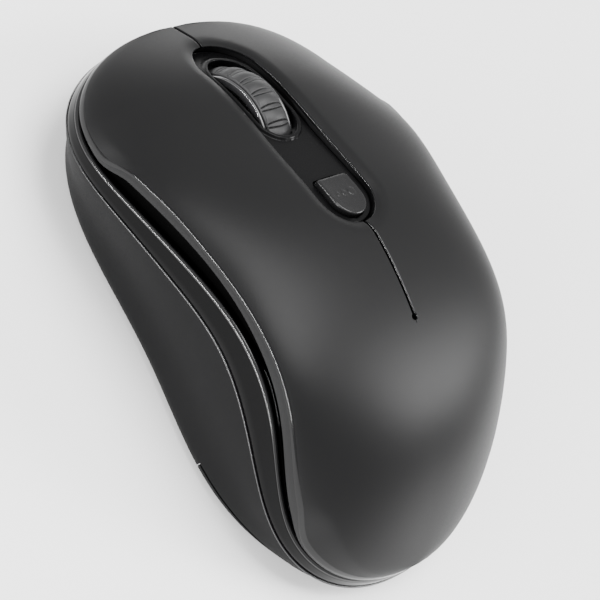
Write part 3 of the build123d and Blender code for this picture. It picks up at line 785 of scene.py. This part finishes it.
key = {
    "rise": 1.2, "edgeRound": 0.45, "skirt": 1.4, "dish": 0.1, "dishEdge": 1.5,
    "dots": [(-1.75, 0.35), (-0.2, 0.55), (1.6, 0.8)],  # distance to the right, and radius
    "dotY": 9.6, "dotRise": 0.12, "dotBlend": 0.16, "dotMiddle": 0.5,
    "endStep": 0.01, "endRow": 1.0, "dotRows": [8.0, 11.2], "rowSpacing": 0.22, "columns": 91, "even": 0.7,
}


def keyPoints():
    k = key
    rear, front = deck["keyRear"], deck["keyFront"]
    stops = [rear + k["endStep"], rear + k["endRow"], *k["dotRows"], front - k["endRow"], front - k["endStep"]]
    y = easedRows(stops, k["rowSpacing"])
    width = keyWidth(y)
    t = np.linspace(-1, 1, k["columns"])[None, :]
    share = k["even"] * t + (1 - k["even"]) * np.sin(np.pi / 2 * t)
    x = width[:, None] * share
    yy = np.repeat(y[:, None], x.shape[1], 1)
    z = deckTop(yy) + k["rise"] - edgeFall(np.maximum(keyDepth(x, yy), 0), k["edgeRound"])
    z -= k["dish"] * np.clip(1 - (x / deck["keyHalf"]) ** 2, 0, 1) * smooth(keyDepth(x, yy) / k["dishEdge"])
    for dotX, radius in k["dots"]:
        inDot = radius - np.hypot(x - dotX, yy - k["dotY"])
        z += k["dotRise"] * smooth(inDot / k["dotBlend"] + k["dotMiddle"])
    low = deckTop(y)[:, None] - k["skirt"]
    x = np.hstack([x[:, :1], x, x[:, -1:]])
    z = np.hstack([low, z, low])
    return np.stack([x, np.repeat(y[:, None], x.shape[1], 1), z], -1)


keyPiece = makePiece("resolutionKey", [(keyPoints(), False, True, True)], finish["keyPlastic"],
                     "resolution_key")
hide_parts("resolution_key")
print("deck and key made")


# wheel: barrel tyre with lens-shaped pairs of cross grooves, and a hub with polished rims

wheel = {
    "y": 29.5, "z": 16.3, "tyreRadius": 12.6, "tyreHalf": 2.8, "crownDrop": 0.75, "shoulder": 0.45,
    "pairs": 24, "spread": 2.3, "pinch": 1.3, "grooveDepth": 0.42, "grooveWidth": 0.85, "puff": 0.1,
    "grooveSharp": 1.9, "grooveFloor": 11.0, "fadeFrom": 1.02, "fadeLength": 0.22,
    "footRadius": 10.9, "boreRadius": 10.32, "boreInset": 0.25,
    "tyreAcross": 31, "shoulderTurns": [15, 35, 55, 75, 90], "tyreColumns": 960, "hubColumns": 160,
    "hubProfile": [  # distance from the middle, and radius
        (2.5, 10.3), (2.78, 10.6), (2.82, 11.25), (2.9, 11.5), (3.05, 11.62), (3.25, 11.66), (3.45, 11.6),
        (3.58, 11.45), (3.62, 11.2), (3.6, 10.35), (3.5, 10.12), (3.3, 10.0), (2.45, 9.7), (2.2, 9.45),
        (2.1, 9.0), (2.1, 4.0), (2.2, 3.5), (2.5, 3.3), (3.4, 3.1), (3.6, 2.9), (3.6, 1.12)],
}


# turns a profile of (x, radius) rows round the wheel's axle
def wheelPoints(x, radius, angle):
    y, z = wheel["y"] + radius * np.sin(angle), wheel["z"] + radius * np.cos(angle)
    return np.stack([x + 0 * radius, y, z], -1)


# barrel of the tyre; each groove is a bell-shaped cut whose place leans towards its partner near the edges
def tyrePoints():
    w = wheel
    half, corner = w["tyreHalf"], w["shoulder"]
    across = np.linspace(-1, 1, w["tyreAcross"])[:, None] * (half - corner)
    top = w["tyreRadius"] - w["crownDrop"] * (across / half) ** 2
    turn = np.radians(w["shoulderTurns"])[:, None]
    cornerTop = top[-1] - corner * (1 - np.cos(turn))
    cornerX = half - corner + corner * np.sin(turn)
    low = np.array([[half, w["footRadius"]], [half - w["boreInset"], w["boreRadius"]]])
    edgeX = np.vstack([cornerX, low[:, :1]])
    edgeR = np.vstack([cornerTop, low[:, 1:]])
    x = np.vstack([-edgeX[::-1], across, edgeX])
    radius = np.vstack([edgeR[::-1], top, edgeR])
    angle = np.linspace(0, 360, w["tyreColumns"], endpoint=False)[None, :]
    pitch = 360 / w["pairs"]
    fromPair = (angle + pitch / 2) % pitch - pitch / 2
    reach = np.clip(np.abs(x) / half, 0, 1)
    apart = w["spread"] + (w["pinch"] - w["spread"]) * reach ** 2
    fade = smooth((w["fadeFrom"] - reach) / w["fadeLength"]) * (radius > w["grooveFloor"])
    cut = np.exp(-((np.abs(fromPair) - apart) / w["grooveWidth"] * w["grooveSharp"]) ** 2)
    puff = -w["puff"] * np.cos(2 * np.pi * fromPair / pitch) * fade
    depth = w["grooveDepth"] * cut * fade
    return wheelPoints(x, radius - depth + puff, np.radians(angle))


def hubPoints():
    profile = np.array(wheel["hubProfile"])
    profile = np.vstack([profile, profile[::-1] * [-1, 1]])
    angle = np.linspace(0, 2 * np.pi, wheel["hubColumns"], endpoint=False)[None, :]
    return wheelPoints(profile[:, :1], profile[:, 1:] + 0 * angle, angle)


tyre = makePiece("wheelTyre", [(tyrePoints(), True, True, False)], finish["wheelRubber"], "wheel", 60)
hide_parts("wheel_tyre")
hub = makePiece("wheelHub", [(hubPoints(), True, True, False)], finish["hubGloss"], "wheel", 40)
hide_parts("wheel_hub")
print("wheel made")


# underside: rounded glide pads, grip ribs and an arrow on the door

under = {
    "padBottom": 0.0, "padTop": 0.82, "padRound": 0.28, "padTurns": [0, 30, 60, 90],
    "arcPoints": 60, "arcSquare": 8, "ovalPoints": 64, "leastCosine": 1e-6,
    "frontArc": {"centreY": 9.0, "radius": 33.75, "half": 2.25, "spread": 24.5, "side": 1},
    "rearArc": {"centreY": -13.0, "radius": 31.25, "half": 2.25, "spread": 18.6, "side": -1},
    "sidePads": {"x": 22.0, "y": -14.0, "long": 4.5, "wide": 2.25},
    "ribs": {"y": [-23.4, -24.9, -26.4, -27.9, -29.4], "half": 5.2, "wide": 0.42},
    "ribProfile": [(0, 0.95), (0, 0.75), (0.1, 0.62), (0.22, 0.5)],  # distance in, and height
    "arrow": [(0.0, -38.2), (3.4, -33.8), (1.3, -33.8), (1.3, -31.6),
              (-1.3, -31.6), (-1.3, -33.8), (-3.4, -33.8)],
    "arrowProfile": [(0, 0.95), (0, 0.72), (0.12, 0.64)],
}


# a plate with rounded edges over a closed outline: rows of (distance in, height)
def platePoints(outline, profile):
    ahead = np.roll(outline, -1, 0) - np.roll(outline, 1, 0)
    inward = np.stack([-ahead[:, 1], ahead[:, 0]], -1) / np.linalg.norm(ahead, axis=1)[:, None]
    area = np.sum(outline[:, 0] * np.roll(outline[:, 1], -1) - np.roll(outline[:, 0], -1) * outline[:, 1])
    return np.array([np.column_stack([outline + inward * inset * np.sign(area), np.full(len(outline), z)])
                     for inset, z in profile])


def padProfile():
    u = under
    turn = np.radians(u["padTurns"])
    low = [(u["padRound"] * (1 - np.sin(a)), u["padBottom"] + u["padRound"] * (1 - np.cos(a))) for a in turn]
    return low + [(0, u["padTop"])]


def arcOutline(arc):
    share = np.sin(np.linspace(-np.pi / 2, np.pi / 2, under["arcPoints"]))
    half = arc["half"] * np.sqrt(1 - np.abs(share) ** under["arcSquare"])
    angle = np.radians(arc["spread"]) * np.concatenate([share, share[-2:0:-1]])
    radius = arc["radius"] + np.concatenate([half, -half[-2:0:-1]])
    return np.column_stack([radius * np.sin(angle), arc["centreY"] + arc["side"] * radius * np.cos(angle)])


def ovalOutline(x, y, long, wide):
    turn = np.linspace(0, 2 * np.pi, under["ovalPoints"], endpoint=False)
    across = np.sign(np.cos(turn)) * (long - wide) * (np.abs(np.cos(turn)) > under["leastCosine"])
    return np.column_stack([x + across + wide * np.cos(turn), y + wide * np.sin(turn)])


frontPoints = platePoints(arcOutline(under["frontArc"]), padProfile())
frontPad = makePiece("frontPad", [(frontPoints, False, True, True)], finish["glidePad"], "housing")
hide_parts("front_foot")
rearPoints = platePoints(arcOutline(under["rearArc"]), padProfile())
rearPad = makePiece("rearPad", [(rearPoints, False, True, True)], finish["glidePad"], "battery_door")
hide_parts("rear_foot")
pads = under["sidePads"]
sideGrids = [(platePoints(ovalOutline(side * pads["x"], pads["y"], pads["long"], pads["wide"]), padProfile()),
              False, True, True) for side in (-1, 1)]
sidePads = makePiece("sidePads", sideGrids, finish["glidePad"], "housing")
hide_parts("side_feet")

ribs = under["ribs"]
ribOutlines = [ovalOutline(0, y, ribs["half"], ribs["wide"]) for y in ribs["y"]]
ribGrids = [(platePoints(outline, under["ribProfile"]), False, True, True) for outline in ribOutlines]
makePiece("doorRibs", ribGrids, finish["matteBase"], "battery_door")
arrowGrid = platePoints(np.array(under["arrow"]), under["arrowProfile"])
makePiece("doorArrow", [(arrowGrid, False, True, True)], finish["matteBase"], "battery_door")
print("underside made")


# stage, light and camera

floor = {"half": 3.0, "colour": (0.97, 0.97, 0.97, 1), "rough": 0.9}
floorCorners = [(x * floor["half"], y * floor["half"], 0) for x, y in ((-1, -1), (1, -1), (1, 1), (-1, 1))]
floorMesh = bpy.data.meshes.new("floor")
floorMesh.from_pydata(floorCorners, [], [(0, 1, 2, 3)])
floorPiece = bpy.data.objects.new("floor", floorMesh)
bpy.context.collection.objects.link(floorPiece)
floorMaterial, _, _, floorShader = newMaterial("paleFloor")
floorShader.inputs["Base Color"].default_value = floor["colour"]
floorShader.inputs["Roughness"].default_value = floor["rough"]
floorMesh.materials.append(floorMaterial)

studio = {
    "worldColour": (1, 1, 1, 1), "world": 1.0, "aim": (0, 0, 0.015),
    "lamps": [  # place, width and length in metres, turn of the length about the beam, power in watts
        ("palmLamp", (0.88, -0.5, 0.72), (0.5, 0.5), 0, 14.5),
        ("topLamp", (0.1, 0.1, 1.3), (0.9, 0.9), 0, 30.0),
        ("edgeStrip", (-0.9, 0.05, 0.26), (0.025, 1.4), 90, 26.0),
    ],
}
world = bpy.data.worlds.new("studioWorld")
world.use_nodes = True
world.node_tree.nodes["Background"].inputs["Color"].default_value = studio["worldColour"]
world.node_tree.nodes["Background"].inputs["Strength"].default_value = studio["world"]
bpy.context.scene.world = world
for lampName, place, size, turn, power in studio["lamps"]:
    data = bpy.data.lights.new(lampName, "AREA")
    data.shape = "RECTANGLE"
    data.size, data.size_y = size
    data.energy = power
    lamp = bpy.data.objects.new(lampName, data)
    lamp.location = place
    lamp.rotation_mode = "QUATERNION"
    beam = (Vector(studio["aim"]) - Vector(place)).to_track_quat("-Z", "Y")
    lamp.rotation_quaternion = beam @ Quaternion((0, 0, 1), math.radians(turn))
    bpy.context.collection.objects.link(lamp)

cameraPlace = {
    "azimuth": -80.31, "elevation": 43.41, "roll": 56.69,
    "distance": 0.41324, "target": (0, 0, 0.015), "lens": 140.42, "shift": (-0.00156, -0.02058),
    "sensor": 36, "near": 0.01, "far": 20,
}


# camera axes: back from the target, then right and up turned by the roll
def makeCamera(place):
    azimuth, elevation, roll = [math.radians(place[k]) for k in ("azimuth", "elevation", "roll")]
    level = math.cos(elevation)
    back = Vector((math.sin(azimuth) * level, -math.cos(azimuth) * level, math.sin(elevation)))
    across = Vector((math.cos(azimuth), math.sin(azimuth), 0))
    rise = back.cross(across)
    right = across * math.cos(roll) + rise * math.sin(roll)
    up = rise * math.cos(roll) - across * math.sin(roll)
    data = bpy.data.cameras.new("camera")
    data.lens = place["lens"]
    data.sensor_width = place["sensor"]
    data.shift_x, data.shift_y = place["shift"]
    data.clip_start, data.clip_end = place["near"], place["far"]
    camera = bpy.data.objects.new("camera", data)
    turn = Matrix((right, up, back)).transposed().to_4x4()
    camera.matrix_world = Matrix.Translation(Vector(place["target"]) + back * place["distance"]) @ turn
    bpy.context.collection.objects.link(camera)
    bpy.context.scene.camera = camera


makeCamera(cameraPlace)
print("stage made")
